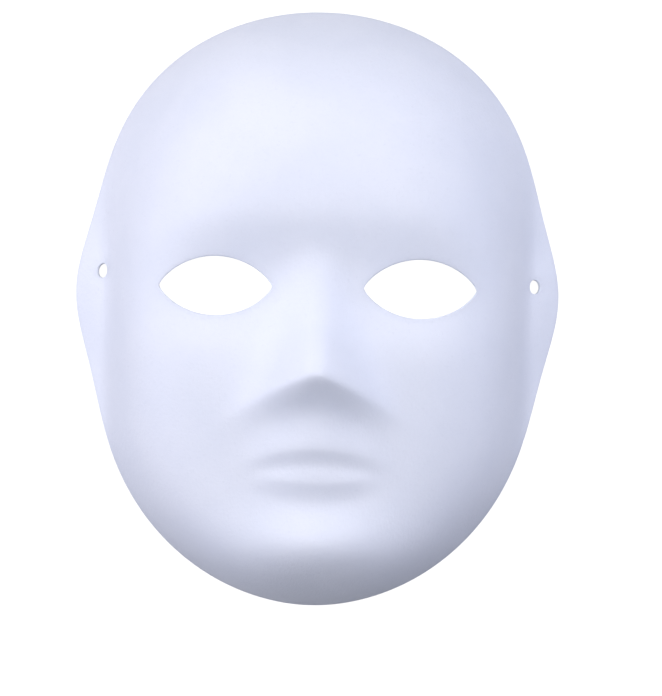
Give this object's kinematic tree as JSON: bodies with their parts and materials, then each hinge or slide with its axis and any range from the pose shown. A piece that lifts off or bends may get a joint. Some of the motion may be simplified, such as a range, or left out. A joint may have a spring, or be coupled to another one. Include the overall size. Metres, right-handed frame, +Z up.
{
  "type": "full face mask",
  "caption": "Blank white full face mask, a thin moulded shell with open eyes and a punched cord hole in the tab at each side, lying on its rim face up.",
  "frame": {"origin": "under the middle of the mask's outline, on the surface that its rim lies on", "axes": "+X to the viewer's right, +Y to the crown of the head, +Z up out of the face"},
  "size_m": [0.196, 0.241, 0.0797],
  "materials": {
    "white_pulp": "matte"
  },
  "bodies": {
    "root": {"mask_shell": "white_pulp"}
  },
  "joints": []
}
